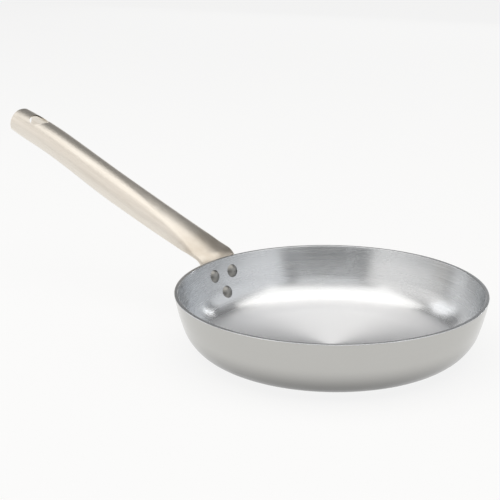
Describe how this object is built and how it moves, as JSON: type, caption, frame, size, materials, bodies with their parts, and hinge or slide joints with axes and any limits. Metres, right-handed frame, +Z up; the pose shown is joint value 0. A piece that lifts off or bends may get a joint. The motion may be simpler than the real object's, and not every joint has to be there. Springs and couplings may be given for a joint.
{
  "type": "omelette pan",
  "caption": "Shallow flared frying pan for omelettes, with a long riveted tubular handle that has a hanging hole at its open end.",
  "frame": {"origin": "centre of the flat base's underside, which rests on the hob", "axes": "+Z up, the bowl's open side; +X from the bowl's centre out along the handle, seen from above"},
  "size_m": [0.4872, 0.2398, 0.1374],
  "materials": {
    "pan": "fine concentric brushing inside, satin outside",
    "handle": "satin with a warm tint",
    "rivet": "satin"
  },
  "bodies": {
    "root": {"pan_body": "pan", "handle": "handle", "rivet_left": "rivet", "rivet_right": "rivet", "rivet_lower": "rivet"}
  },
  "joints": []
}
